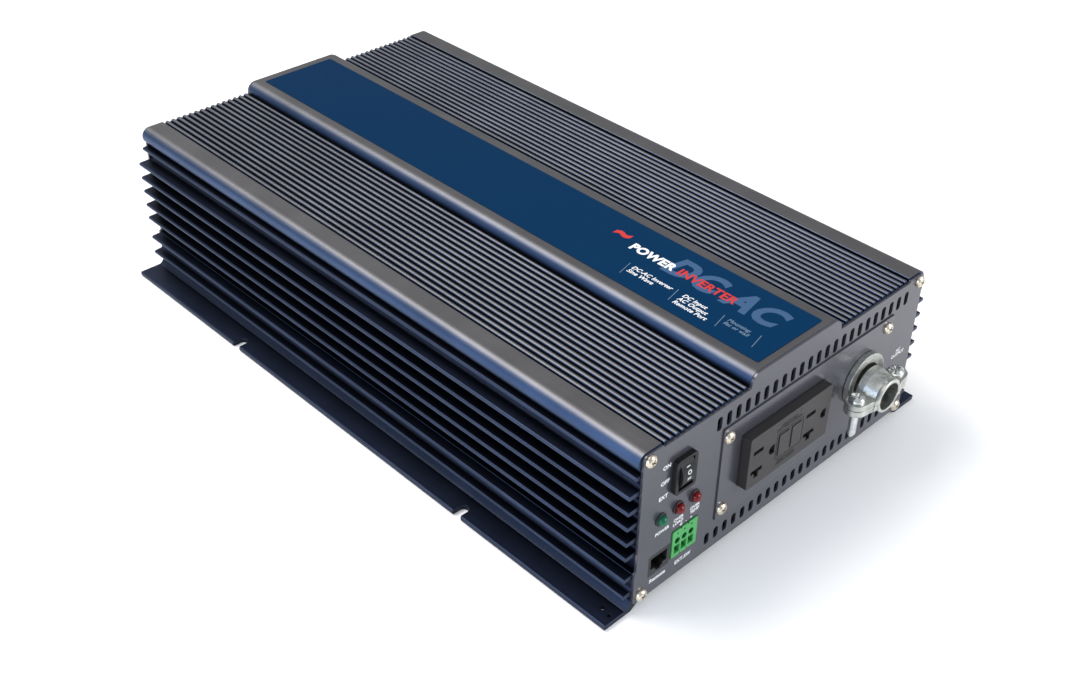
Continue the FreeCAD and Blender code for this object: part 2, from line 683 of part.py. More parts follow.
def remote_terminals():
    """Three-way pluggable terminal block: a plug that pulls off the pins of a fixed header."""
    plug = new_body("terminal_plug")
    add_y(plug, -212.1, 7.1, rectangle(-87.3, 19.5, -69.1, 37.0, 0.5))
    grooves = [centred(x, 20.0, 0.7, 1.2) for x in (-81.04, -75.96)]
    grooves += [centred(x, 36.8, 0.7, 1.2) for x in (-81.04, -75.96)]
    cut_y(plug, -212.1, 5.1, *grooves)
    add_y(plug, -205.1, 7.1, rectangle(-86.2, 21.0, -70.2, 35.2))
    cut_y(plug, -212.1, 5.1, *[centred(x, 24.3, 3.9, 5.2) for x in CONTACT_X])
    cut_y(plug, -212.1, 5.6, *[disc(x, 29.9, 1.85) for x in CONTACT_X])
    cut_y(plug, -212.1, 1.0, *[centred(x, 34.7, 1.0, 1.0) for x in CONTACT_X])
    cut_y(plug, -207.5, 9.6, *[centred(x, 27.6, 1.6, 1.6) for x in CONTACT_X])

    header = new_body("terminal_header")
    add_y(header, -204.6, 7.0, rectangle(-87.6, 19.7, -68.8, 36.6), rectangle(-86.5, 20.7, -69.9, 35.5))
    add_y(header, -197.7, 5.6, rectangle(-87.6, 19.7, -68.8, 36.6))
    cut_y(header, -197.7, 5.6, *[centred(x, 27.6, 1.1, 1.1) for x in CONTACT_X])
    pins = new_body("header_pins")
    add_y(pins, -206.5, 14.4, *[centred(x, 27.6, 1.0, 1.0) for x in CONTACT_X])

    screws = []
    for x in CONTACT_X:
        screw = turned((x, -209.6, 29.9), BACKWARD, [(0.0, 1.4), (0.25, 1.75), (2.9, 1.75)])
        slot = block(x - 2.0, x + 2.0, -210.0, -208.9, 29.65, 30.15)
        slot.rotate(V(x, -209, 29.9), BACKWARD, 20)
        screws.append(screw.cut(slot))
    shaped("terminal_screws", screws)


def remote_jack():
    """Modular jack for a remote control, flush with the panel, with six spring contacts."""
    body = new_body("remote_jack")
    add_y(body, PANEL_FACE, 19.4, rectangle(-103.4, 17.7, -88.7, 30.8))
    cut_y(body, PANEL_FACE, 13.0, outline([
        (-101.9, 28.8), (-101.9, 21.6), (-98.9, 21.6), (-98.9, 20.0), (-97.6, 20.0), (-97.6, 18.9),
        (-94.5, 18.9), (-94.5, 20.0), (-93.2, 20.0), (-93.2, 21.6), (-90.2, 21.6), (-90.2, 28.8),
    ]))
    wires = [curve_tube([(-98.6 + 1.02 * k, -199.2, 28.2), (-98.6 + 1.02 * k, -203.5, 27.3),
                         (-98.6 + 1.02 * k, -207.6, 24.6)], 0.22) for k in range(6)]
    shaped("jack_contacts", wires)


def control_board():
    """Upright circuit board behind the lamps, switch, terminals and jack."""
    body = new_body("control_board")
    add_y(body, -192.0, 1.6, rectangle(-104.6, 16.5, -60.0, 64.0, 1.0))
    chips = [(-98.0, 40.0, 10.0, 6.0), (-80.0, 44.0, 14.0, 7.0), (-66.0, 30.0, 5.0, 9.0)]
    add_y(body, -190.5, 2.2, *[centred(x, z, w, h) for x, z, w, h in chips])


# ---------------------------------------------------------------- power stage

BOARD_Z = 14.3
BOARD_TOP = BOARD_Z + SIZES["boardThickness"]
BOARD_HOLES = [(x, y) for x in (-84.0, 84.0) for y in (-142.0, 5.0, 138.0)]
TRANSISTOR_Y = [-120.0 + 22.0 * k for k in range(12)]
BAR_FACE = 94.7


def main_board():
    """Main circuit board on six standoffs, with its screws."""
    board = new_body("main_board")
    add_z(board, BOARD_Z, "sizes.boardThickness", rectangle(-92.0, -150.0, 92.0, 160.0, 2.0),
          *[disc(x, y, 1.8) for x, y in BOARD_HOLES])
    posts = new_body("board_standoffs")
    add_z(posts, 6.3, BOARD_Z - 6.3, *[hexagon(x, y, 6.0) for x, y in BOARD_HOLES])
    cut_z(posts, BOARD_Z, 6.0, *[disc(x, y, 1.55) for x, y in BOARD_HOLES])
    shaped("board_screws", [pan_screw(x, y, BOARD_TOP, -UP, 2.8, 1.8, 1.5, 6.5, 1.0)
                            for x, y in BOARD_HOLES])


def transformers():
    """Three power transformers: ferrite cores round copper windings."""
    cores = []
    windings = []
    for x in (-52.0, 0.0, 52.0):
        core = block(x - 21, x + 21, 40, 70, BOARD_TOP, 60)
        core = core.cut(block(x - 15, x + 15, 39, 71, BOARD_TOP + 7, 53))
        core = core.fuse(rod((x, 55, BOARD_TOP + 6), UP, 38, 6.0))
        cores.append(core)
        coil = rod((x, 55, BOARD_TOP + 8.5), UP, 27.5, 14.2)
        coil = coil.cut(rod((x, 55, BOARD_TOP), UP, 45, 6.4))
        for k in range(9):
            groove = Part.makeTorus(14.4, 0.5, V(x, 55, BOARD_TOP + 10.2 + 3.0 * k), UP)
            coil = coil.cut(groove)
        windings.append(coil)
    shaped("transformer_cores", cores)
    shaped("transformer_windings", windings)


def capacitor(x, y, radius, height):
    """A can capacitor standing on the main board, with a crimped foot and a scored top."""
    can = turned((x, y, BOARD_TOP), UP, [
        (0.0, radius - 0.6), (0.8, radius), (2.4, radius), (3.1, radius - 0.7), (3.8, radius),
        (height - 0.8, radius), (height, radius - 0.8), (height, radius - 2.0), (height - 0.4, radius - 2.2),
    ])
    top = BOARD_TOP + height
    score = block(x - radius, x + radius, y - 0.3, y + 0.3, top - 0.8, top + 1)
    return can.cut(score).cut(score.rotated(V(x, y, top), UP, 90))


def capacitors():
    """Four tall bulk capacitors and seven smaller input capacitors."""
    shaped("bulk_capacitors", [capacitor(x, -45.0, 15.0, 50.0) for x in (-51.0, -17.0, 17.0, 51.0)])
    shaped("input_capacitors", [capacitor(x, 112.0, 9.0, 31.0) for x in
                                (-66.0, -44.0, -22.0, 0.0, 22.0, 44.0, 66.0)])


def output_inductor():
    """Toroidal output choke lying on the board, with a single layer of turns."""
    x = -40.0
    y = -110.0
    middle = BOARD_TOP + 15.0
    ring = rod((x, y, middle - 9), UP, 18, 22.0).cut(rod((x, y, middle - 10), UP, 20, 12.0))
    shaped("inductor_core", [ring])
    turn = block(10.2, 23.8, -1.4, 1.4, -10.8, 10.8).cut(block(11.7, 22.3, -2, 2, -9.3, 9.3))
    turns = []
    for k in range(22):
        copy = turn.copy()
        copy.rotate(V(0, 0, 0), UP, k * 14.4)
        copy.translate(V(x, y, middle))
        turns.append(copy)
    shaped("inductor_winding", turns)


def power_transistors():
    """Transistors held against two heat spreader bars by screwed clamping strips."""
    devices = []
    for side in (-1, 1):
        for y in TRANSISTOR_Y:
            package = block(BAR_FACE - 5.0, BAR_FACE, y - 8.0, y + 8.0, 30.0, 51.0)
            package = package.cut(rod((BAR_FACE - 6.0, y, 46.0), ACROSS, 8.0, 1.8))
            legs = [block(BAR_FACE - 3.8, BAR_FACE - 3.0, y + dy - 0.6, y + dy + 0.6, BOARD_TOP, 30.0)
                    for dy in (-5.4, 0.0, 5.4)]
            device = fused([package] + legs)
            devices.append(device if side > 0 else device.mirror(V(0, 0, 0), ACROSS))
    shaped("power_transistors", devices)

    bars = new_body("spreader_bars")
    holes = [disc(y + 11.0, 41.0, 1.6) for y in TRANSISTOR_Y[1:-1:3]]
    for side in (-1, 1):
        x0 = BAR_FACE if side > 0 else -BAR_FACE - 8.0
        add_x(bars, x0, 8.0, rectangle(-140.0, 6.3, 150.0, 64.0), *holes)
    strips = new_body("clamp_strips")
    for side in (-1, 1):
        x0 = BAR_FACE - 7.0 if side > 0 else -BAR_FACE + 5.0
        add_x(strips, x0, 2.0, rectangle(-132.0, 37.0, 134.0, 44.6), *holes)
    screws = []
    for y in TRANSISTOR_Y[1:-1:3]:
        screws.append(pan_screw(BAR_FACE - 7.0, y + 11.0, 41.0, ACROSS, 2.8, 1.8, 1.5, 13.0, 1.0))
        screws.append(pan_screw(7.0 - BAR_FACE, y + 11.0, 41.0, -ACROSS, 2.8, 1.8, 1.5, 13.0, 1.0))
    shaped("clamp_strip_screws", screws)


def blade_fuses():
    """A row of blade fuses near the DC input."""
    body = new_body("blade_fuses")
    places = [-50.0 + 20.0 * k for k in range(6)]
    add_z(body, BOARD_TOP, 9.0, *[centred(x, 137.0, 19.0, 5.4, 0.8) for x in places])
    add_z(body, BOARD_TOP + 9.0, 7.0, *[centred(x, 137.0, 18.0, 4.0, 0.8) for x in places])


def ac_wires():
    """Three wires from the main board into the wiring box."""
    wires = []
    for k in (-1, 0, 1):
        x = 40.0 + 3.6 * k
        wires.append(curve_tube([(x + 8.0 * k, -140.0, BOARD_TOP + 0.4), (x + 7.6 * k, -140.4, 34.0),
                                 (x + 1.5 * k, -150.0, 53.0), (x, -163.0, 55.0), (x, -175.0, 55.0)], 1.5))
    shaped("ac_wires", wires)


# ---------------------------------------------------------------- rear end

FAN_HOLE = 25.0


def fan_frame(label, x):
    """Square fan frame with its bore, motor mount and three struts."""
    half = SIZES["fanSize"] / 2
    depth = SIZES["fanDepth"]
    shell = block(x - half, x + half, REAR - depth, REAR, FAN_Z - half, FAN_Z + half)
    shell = shell.cut(rod((x, REAR - depth - 1, FAN_Z), BACKWARD, depth + 2, 28.4))
    side_cut = rod((x, REAR - depth + 4, FAN_Z), BACKWARD, depth - 8, 42.0)
    side_cut = side_cut.cut(rod((x, REAR - depth + 4, FAN_Z), BACKWARD, depth - 8, 30.2))
    shell = shell.cut(side_cut)
    pieces = [shell, rod((x, REAR - depth, FAN_Z), BACKWARD, 3.0, 12.5)]
    for k in range(3):
        strut = block(x, x + 29.4, REAR - depth, REAR - depth + 3.0, FAN_Z - 1.8, FAN_Z + 1.8)
        strut.rotate(V(x, 0, FAN_Z), BACKWARD, 30 + 120 * k)
        pieces.append(strut)
    pieces.append(rod((x, REAR - depth, FAN_Z), BACKWARD, 12.0, 3.4))
    frame = fused(pieces).cut(rod((x, REAR - depth + 2.0, FAN_Z), BACKWARD, 12.0, 1.55))
    for dx in (-FAN_HOLE, FAN_HOLE):
        for dz in (-FAN_HOLE, FAN_HOLE):
            frame = frame.cut(rod((x + dx, REAR - depth - 1, FAN_Z + dz), BACKWARD, depth + 2, 2.2))
    shaped(label, [frame])


def fan_rotor(label, x):
    """Fan rotor: cup-shaped hub, seven twisted blades and the shaft."""
    hub = turned((x, REAR - 20.5, FAN_Z), BACKWARD, [(0.0, 12.6), (17.6, 12.6), (18.4, 11.8)])
    hub = hub.cut(rod((x, REAR - 21.0, FAN_Z), BACKWARD, 16.5, 11.2))
    pieces = [hub]
    for k in range(7):
        sections = []
        for radius, twist in ((12.0, 52.0), (19.5, 42.0), (27.2, 33.0)):
            half = 8.6 * math.sin(math.radians(twist)) + 1.0
            sweep = 9.0
            face = Part.makePolygon([
                V(-sweep, -half, radius), V(sweep, half - 0.9, radius),
                V(sweep, half + 0.1, radius), V(-sweep, -half + 1.1, radius), V(-sweep, -half, radius)])
            sections.append(face)
        blade = Part.makeLoft(sections, True, True)
        blade.translate(V(x, REAR - 11.5, FAN_Z))
        blade.rotate(V(x, 0, FAN_Z), BACKWARD, k * 360.0 / 7)
        pieces.append(blade)
    rotor = fused(pieces)
    rotor = rotor.common(rod((x, REAR - 21.0, FAN_Z), BACKWARD, 20.0, 27.6))
    cavity = rod((x, REAR - 21.0, FAN_Z), BACKWARD, 16.5, 11.2)
    shaft = rod((x, REAR - 22.5, FAN_Z), BACKWARD, 20.0, 1.5)
    shaped(label, [rotor.cut(cavity).fuse(shaft).removeSplitter()])


def fan_guards():
    """Wire finger guards over the two fan openings."""
    guards = []
    for x in (-FAN_X, FAN_X):
        y = REAR_FACE + 1.7
        wires = [Part.makeTorus(r, 0.8, V(x, y, FAN_Z), BACKWARD) for r in (8.0, 15.0, 22.0, 29.0)]
        for k in range(4):
            angle = math.radians(45 + 90 * k)
            out = V(math.cos(angle), 0, math.sin(angle))
            start = V(x, y - 0.9, FAN_Z) + out * 7.0
            wires.append(Part.makeCylinder(0.8, 25.6, start, out))
            centre = V(x, y - 0.9, FAN_Z) + out * (FAN_HOLE * math.sqrt(2))
            wires.append(Part.makeTorus(3.0, 0.8, centre, BACKWARD))
        guards.append(wires[0].multiFuse(wires[1:]))
    shaped("fan_guards", guards)


def fan_screws():
    """Eight screws through guard, panel and fan frame."""
    screws = []
    for x in (-FAN_X, FAN_X):
        for dx in (-FAN_HOLE, FAN_HOLE):
            for dz in (-FAN_HOLE, FAN_HOLE):
                screws.append(pan_screw(x + dx, REAR_FACE + 1.6, FAN_Z + dz, -BACKWARD,
                                        4.2, 2.6, 1.9, 16.0, 1.5))
    shaped("fan_screws", screws)


def dc_terminals():
    """Two insulated DC input studs with nuts, and the busbars that join them to the board."""
    for label, x in (("positive_insulator", STUD_X), ("negative_insulator", -STUD_X)):
        base = block(x - 15, x + 15, REAR_FACE, REAR_FACE + 6.0, STUD_Z - 17, STUD_Z + 17)
        base = base.makeFillet(3.0, [e for e in base.Edges if abs(e.tangentAt(e.FirstParameter).y) > 0.9])
        collar = rod((x, REAR_FACE + 5.0, STUD_Z), BACKWARD, 2.5, 11.0)
        sleeve = rod((x, REAR - 3.0, STUD_Z), BACKWARD, 8.0, 9.0)
        base = fused([base, collar, sleeve]).cut(rod((x, REAR - 5.0, STUD_Z), BACKWARD, 40.0, 4.05))
        shaped(label, [base])
    studs = []
    nuts = []
    for x in (-STUD_X, STUD_X):
        studs.append(turned((x, REAR - 16.0, STUD_Z), BACKWARD,
                            [(0.0, 3.4), (0.6, 4.0), (31.4, 4.0), (31.4, 3.75), (36.8, 3.75), (37.4, 3.2)]))
        for y, thick in ((REAR_FACE + 7.5, 6.4), (REAR - 3.0 - 2.5 - 6.4, 6.4)):
            nut = Part.Face(Part.Wire([e.toShape() for e in hexagon(0, 0, 13.0)]))
            nut = nut.extrude(V(0, 0, thick))
            nut.Placement = FreeCAD.Placement(V(x, y, STUD_Z), FreeCAD.Rotation(UP, BACKWARD))
            nuts.append(nut.cut(rod((x, y - 1, STUD_Z), BACKWARD, thick + 2, 4.05)))
    shaped("dc_studs", studs)
    shaped("dc_nuts", nuts)
    bars = new_body("busbars")
    for side in (-1, 1):
        x0 = STUD_X - 8.0 if side > 0 else -STUD_X - 6.0
        add_x(bars, x0, 14.0, outline([
            (REAR - 5.5, 68.0), (REAR - 5.5, BOARD_TOP + 2.5), (148.0, BOARD_TOP + 2.5),
            (148.0, BOARD_TOP), (REAR - 3.0, BOARD_TOP), (REAR - 3.0, 68.0)]))
    cut_y(bars, REAR - 6.0, 4.0, *[disc(x, STUD_Z, 4.3) for x in (-STUD_X, STUD_X)])


def ground_stud():
    """Chassis ground stud low on the rear panel."""
    stud = rod((0.0, REAR - 6.0, GROUND_Z), BACKWARD, 22.0, 2.9)
    nut = Part.Face(Part.Wire([e.toShape() for e in hexagon(0, 0, 10.0)])).extrude(V(0, 0, 4.5))
    nut.Placement = FreeCAD.Placement(V(0, REAR_FACE, GROUND_Z), FreeCAD.Rotation(UP, BACKWARD))
    shaped("ground_stud", [stud.fuse(nut).removeSplitter()])


# ---------------------------------------------------------------- build and save

top_cover()
base_extrusion()
name_label()
front_panel()
rear_panel()
panel_screws()
ac_cover_plate()
receptacle()
wiring_box()
cable_connector()
power_switch()
lamps()
remote_terminals()
remote_jack()
control_board()
main_board()
transformers()
capacitors()
output_inductor()
power_transistors()
blade_fuses()
ac_wires()
for side_name, fan_x in (("left", -FAN_X), ("right", FAN_X)):
    fan_frame("fan_frame_" + side_name, fan_x)
    fan_rotor("fan_rotor_" + side_name, fan_x)
fan_guards()
fan_screws()
dc_terminals()
ground_stud()

doc.recompute()
for item in doc.Objects:
    if "Invalid" in item.State or "Error" in item.State:
        raise RuntimeError("%s did not build" % item.Label)
for part in subparts:
    if part.Shape.isNull() or not part.Shape.isValid():
        raise RuntimeError("%s has no valid shape" % part.Label)

os.makedirs("parts", exist_ok=True)
for part in subparts:
    part.Shape.exportStep("parts/%s.step" % part.Label)
print(len(subparts), "sub-parts written")
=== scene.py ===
import json
import math

import bmesh
import bpy
from mathutils import Matrix, Vector


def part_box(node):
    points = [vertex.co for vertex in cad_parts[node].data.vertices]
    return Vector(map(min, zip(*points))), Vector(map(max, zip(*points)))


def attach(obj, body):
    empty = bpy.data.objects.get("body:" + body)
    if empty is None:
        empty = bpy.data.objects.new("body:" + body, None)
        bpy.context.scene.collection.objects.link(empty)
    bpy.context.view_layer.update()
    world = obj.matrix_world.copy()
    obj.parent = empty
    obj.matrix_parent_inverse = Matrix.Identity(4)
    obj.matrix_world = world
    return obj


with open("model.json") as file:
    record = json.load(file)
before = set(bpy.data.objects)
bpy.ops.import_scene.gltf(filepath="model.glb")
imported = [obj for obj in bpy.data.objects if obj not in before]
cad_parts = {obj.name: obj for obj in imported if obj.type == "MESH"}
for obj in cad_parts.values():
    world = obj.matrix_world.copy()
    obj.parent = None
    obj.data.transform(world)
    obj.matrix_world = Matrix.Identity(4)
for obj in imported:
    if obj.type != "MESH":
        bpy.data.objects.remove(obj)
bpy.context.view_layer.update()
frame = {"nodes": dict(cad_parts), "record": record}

SCENE = bpy.context.scene
MM = 0.001

# ------------------------------------------------------------------ driving values

# The case goes from navy fins to a paler crown between these two heights: painted light and shade, the
# crown painted as lit from above and the fins as in shade. A face goes from sloping to flat as the Z of its
# normal runs between the two values of FLATNESS; the crown's sloping faces take a painted blue reflection,
# and the flats of the fins are darkened by painted shade, by the factor below.
CROWN_FOOT, CROWN_EDGE = 88.5 * MM, 91.5 * MM
FLATNESS = (0.55, 0.97)
# Painted shade: the factor that darkens the upward-facing flats of the fins.
FIN_FLAT_PAINTED_SHADE = (0.5, 0.5, 0.55)

# The label runs this far from the middle to each end.
LABEL_REACH = 210 * MM

# An ambient occlusion value at which a gap counts as closed, where the painted shade in gaps is darkest.
CLOSED_GAP = 0.25

# Printing stands this far off its face, and is this thick.
WORD_LIFT = 0.02 * MM
RULE_LIFT = 0.03 * MM
PRINT_THICKNESS = 0.03 * MM
FILM_PRINT_THICKNESS = 0.02 * MM
MOULDED_THICKNESS = 0.14 * MM
LETTER_SPREAD = 1.5
LINE_SPACING = 0.95

# The rocker paddle's round face, and the marks on it.
PADDLE_RADIUS = 11.8 * MM
MARK_SINK = 0.06 * MM
MARK_SIZE = 3.5 * MM

FLOOR_HALF_WIDTH = 6.0
FLOOR_DROP = 0.2 * MM

CAMERA_AZIMUTH, CAMERA_ELEVATION, CAMERA_ROLL = (math.radians(angle) for angle in (-46.835, 35.588, 2.407))
CAMERA_PLACE = (-0.47504, -0.51714, 0.51138)
CAMERA_LENS, CAMERA_SENSOR = 46.42, 36.0
CAMERA_SHIFT = (-0.0499, -0.0116)

# ------------------------------------------------------------------ material helpers


class Shader:
    """One node material: a Principled surface and short calls that add nodes to it."""

    def __init__(self, name, **values):
        self.material = bpy.data.materials.new(name)
        self.material.use_nodes = True
        self.tree = self.material.node_tree
        self.surface = self.tree.nodes["Principled BSDF"]
        self.place = self.tree.nodes.new("ShaderNodeTexCoord").outputs["Object"]
        for socket, value in values.items():
            self.surface.inputs[socket.replace("_", " ")].default_value = value

    def node(self, kind, **values):
        made = self.tree.nodes.new(kind)
        for name, value in values.items():
            if hasattr(made, name):
                setattr(made, name, value)
            else:
                self.feed(value, made.inputs[name.replace("_", " ")])
        return made

    def feed(self, value, socket):
        if hasattr(value, "is_output"):
            self.tree.links.new(value, socket)
        else:
            socket.default_value = value

    def stretched(self, scale):
        """Object coordinates in metres, scaled per axis."""
        return self.node("ShaderNodeMapping", Vector=self.place, Scale=scale).outputs["Vector"]

    def noise(self, scale, detail=3.0, rough=0.55, stretch=None, distort=0.0):
        vector = self.stretched(stretch) if stretch else self.place
        made = self.node("ShaderNodeTexNoise", Vector=vector, Scale=scale, Detail=detail,
                         Roughness=rough, Distortion=distort)
        return made.outputs["Fac"]

    def ramp(self, factor, low, high):
        """A colour or grey ramp. low and high are (position, value) pairs."""
        made = self.node("ShaderNodeValToRGB", Fac=factor)
        for element, (at, value) in zip(made.color_ramp.elements, (low, high)):
            element.position = at
            element.color = (*value, 1.0) if isinstance(value, tuple) else (value, value, value, 1.0)
        return made.outputs["Color"]

    def span(self, factor, low, high):
        """A number that runs from low to high as factor runs from 0 to 1."""
        return self.node("ShaderNodeMapRange", Value=factor, To_Min=low, To_Max=high).outputs["Result"]

    def share(self, value, start, end):
        """0 up to start, 1 from end on, and in between a straight run."""
        return self.node("ShaderNodeMapRange", Value=value, From_Min=start, From_Max=end).outputs["Result"]

    def axis(self, vector, letter):
        """The X, Y or Z of a vector."""
        return self.node("ShaderNodeSeparateXYZ", Vector=vector).outputs[letter]

    def blend(self, factor, a, b, mode="MIX"):
        """A mix of two colours."""
        made = self.tree.nodes.new("ShaderNodeMix")
        made.data_type = "RGBA"
        made.blend_type = mode
        self.feed(factor, made.inputs["Factor"])
        self.feed((*a, 1.0) if isinstance(a, tuple) else a, made.inputs["A"])
        self.feed((*b, 1.0) if isinstance(b, tuple) else b, made.inputs["B"])
        return [o for o in made.outputs if o.type == "RGBA"][0]

    def times(self, a, b):
        """Two colours multiplied."""
        return self.blend(1.0, a, b, "MULTIPLY")

    def colour(self, value):
        self.feed(value, self.surface.inputs["Base Color"])

    def roughness(self, value):
        self.feed(value, self.surface.inputs["Roughness"])

    def relief(self, heights, soften=0.0):
        """Bump from (height, distance in metres) pairs, over edges eased by a bevel of that radius."""
        normal = None
        if soften:
            normal = self.node("ShaderNodeBevel", samples=6, Radius=soften).outputs["Normal"]
        for height, depth in heights:
            bump = self.node("ShaderNodeBump", Height=height, Distance=depth, Strength=1.0)
            if normal:
                self.tree.links.new(normal, bump.inputs["Normal"])
            normal = bump.outputs["Normal"]
        self.tree.links.new(normal, self.surface.inputs["Normal"])

    def painted_gap_shade(self, colour, reach, darkest, open_gap):
        """Painted shade: the colour, times a grey that falls from 1 where the surface is open (occlusion
        value open_gap) to darkest in gaps about reach metres wide."""
        made = self.node("ShaderNodeAmbientOcclusion", samples=5, Distance=reach)
        return self.times(colour, self.ramp(made.outputs["AO"], (CLOSED_GAP, darkest), (open_gap, 1.0)))


def anodised(name, fin_tones, painted_blue_reflection_tones, top_tones, rough):
    """Extruded, anodised aluminium with die lines, and painted light and shade: navy fins under a crown
    painted paler, a painted blue reflection where the crown slopes, and painted shade on the fin flats and
    in the gaps between fins.
    """
    s = Shader(name, Metallic=0.9, Roughness=rough, Coat_Weight=0.05, Coat_Roughness=0.25)
    # Painted light and shade: a mask by height, with the crown above painted paler than the fins below.
    upper = s.share(s.axis(s.place, "Z"), CROWN_FOOT, CROWN_EDGE)
    flat = s.share(s.axis(s.node("ShaderNodeNewGeometry").outputs["Normal"], "Z"), *FLATNESS)
    lines = s.noise(1.0, detail=4.0, rough=0.6, stretch=(5200.0, 5.0, 5200.0))
    clouds = s.noise(28.0, detail=4.0)
    grain = s.noise(4200.0, detail=2.0)
    low, painted_blue_reflection, top = (s.ramp(clouds, (0.3, tones[0]), (0.75, tones[1]))
                       for tones in (fin_tones, painted_blue_reflection_tones, top_tones))
    # Painted shade: the flats of the fins are darkened.
    low = s.blend(flat, low, s.times(low, FIN_FLAT_PAINTED_SHADE))
    # Painted reflection: within the crown, sloping faces take the blue tones and flat faces take the grey.
    tone = s.blend(upper, low, s.blend(flat, painted_blue_reflection, top))
    streaked = s.blend(s.ramp(lines, (0.35, 0.0), (0.7, 0.5)), tone, s.times(tone, (1.5, 1.5, 1.5)))
    # Painted shade: the colour is darkened in the gaps between the fins.
    s.colour(s.painted_gap_shade(streaked, 14 * MM, darkest=0.06, open_gap=0.93))
    s.roughness(s.span(lines, rough - 0.06, rough + 0.1))
    s.relief([(lines, 0.02 * MM), (grain, 0.012 * MM)], soften=0.35 * MM)
    return s.material


def painted(name, dark, light, rough):
    """Satin paint on sheet steel: fine orange peel and a metallic fleck."""
    s = Shader(name, Metallic=0.35, Roughness=rough, Coat_Weight=0.25, Coat_Roughness=0.18)
    clouds = s.noise(14.0)
    peel = s.noise(1900.0, detail=2.0)
    fleck = s.noise(9000.0, detail=1.0)
    tone = s.ramp(clouds, (0.25, dark), (0.8, light))
    s.colour(s.blend(s.ramp(fleck, (0.55, 0.0), (0.8, 0.35)), tone, tuple(c * 1.6 for c in light)))
    s.roughness(s.span(peel, rough - 0.05, rough + 0.07))
    s.relief([(peel, 0.03 * MM)], soften=0.3 * MM)
    return s.material


def plastic(name, dark, light, rough, texture=0.02 * MM, grain=3500.0, gloss=0.5, painted_shade_reach=0.0):
    """Moulded plastic: spark-eroded texture, faint flow marks and eased edges, with painted shade darkening
    its hollows.
    """
    s = Shader(name, Roughness=rough, IOR=1.5, Specular_IOR_Level=gloss)
    flow = s.noise(45.0, detail=4.0, rough=0.6, distort=0.8)
    pits = s.noise(grain, detail=2.0)
    tone = s.ramp(flow, (0.3, dark), (0.75, light))
    # Painted shade: hollows are darkened.
    if painted_shade_reach:
        tone = s.painted_gap_shade(tone, painted_shade_reach, darkest=0.01, open_gap=0.5)
    s.colour(tone)
    s.roughness(s.span(pits, rough - 0.08, rough + 0.1))
    s.relief([(pits, texture)], soften=0.3 * MM)
    return s.material


def metal(name, dark, light, rough, brushed=None):
    """Bare or plated metal, with scratches or brushing and darker patches."""
    s = Shader(name, Metallic=1.0, Roughness=rough)
    patches = s.noise(160.0, detail=5.0, rough=0.65)
    scratches = s.noise(1.0 if brushed else 2500.0, rough=0.6, stretch=brushed)
    s.colour(s.ramp(patches, (0.3, dark), (0.7, light)))
    s.roughness(s.span(scratches, rough - 0.08, rough + 0.14))
    s.relief([(scratches, 0.01 * MM)], soften=0.2 * MM)
    return s.material


def cast_zinc(name):
    """Tumbled die-cast zinc: bright, slightly pitted, with duller patches."""
    s = Shader(name, Metallic=1.0, Roughness=0.3)
    patches = s.noise(260.0, detail=5.0, rough=0.65)
    dents = s.noise(420.0, rough=0.5)
    pits = s.node("ShaderNodeTexVoronoi", Vector=s.place, Scale=1500.0).outputs["Distance"]
    s.colour(s.ramp(patches, (0.3, (0.40, 0.41, 0.38)), (0.7, (0.76, 0.77, 0.73))))
    s.roughness(s.span(patches, 0.3, 0.5))
    s.relief([(dents, 0.22 * MM), (pits, 0.03 * MM)], soften=0.5 * MM)
    return s.material


def label_film(name):
    """Printed film: deep blue, darker away from the panel, with a fine fingerprint sheen."""
    s = Shader(name, Roughness=0.4, Specular_IOR_Level=0.03)
    along = s.share(s.axis(s.place, "Y"), -LABEL_REACH, LABEL_REACH)
    print_dots = s.noise(5200.0, detail=1.0)
    smears = s.noise(22.0, detail=5.0, rough=0.6, stretch=(1.0, 0.35, 1.0), distort=0.6)
    base = s.ramp(along, (0.0, (0.0008, 0.027, 0.080)), (1.0, (0.0006, 0.021, 0.066)))
    s.colour(s.blend(s.ramp(print_dots, (0.4, 0.0), (0.8, 0.25)), base, (0.002, 0.040, 0.112)))
    s.roughness(s.span(smears, 0.34, 0.5))
    s.relief([(smears, 0.02 * MM), (print_dots, 0.006 * MM)])
    return s.material


def ink(name, colour):
    """Screen-printed ink with slightly uneven cover."""
    s = Shader(name, Roughness=0.45)
    cover = s.noise(2600.0)
    s.colour(s.ramp(cover, (0.25, tuple(c * 0.82 for c in colour)), (0.7, colour)))
    s.relief([(cover, 0.008 * MM)])
    return s.material


def lens(name, deep, bright):
    """Tinted epoxy lens, slightly hazy."""
    s = Shader(name, Roughness=0.2, IOR=1.5, Specular_IOR_Level=0.4)
    haze = s.noise(900.0)
    s.colour(s.ramp(haze, (0.3, deep), (0.75, bright)))
    s.roughness(s.span(haze, 0.08, 0.22))
    s.relief([(haze, 0.015 * MM)])
    return s.material


def circuit_board(name):
    """Solder mask with copper tracks showing through as lighter lanes."""
    s = Shader(name, Roughness=0.35, Coat_Weight=0.3)
    lanes = s.node("ShaderNodeTexBrick", Vector=s.stretched((260.0, 120.0, 260.0)), Scale=1.0,
                   Mortar_Size=0.12).outputs["Fac"]
    mask = s.noise(60.0, detail=4.0)
    s.colour(s.blend(lanes, s.ramp(mask, (0.3, (0.006, 0.060, 0.028)), (0.7, (0.010, 0.085, 0.040))),
                     (0.020, 0.160, 0.075)))
    s.relief([(lanes, 0.03 * MM)])
    return s.material


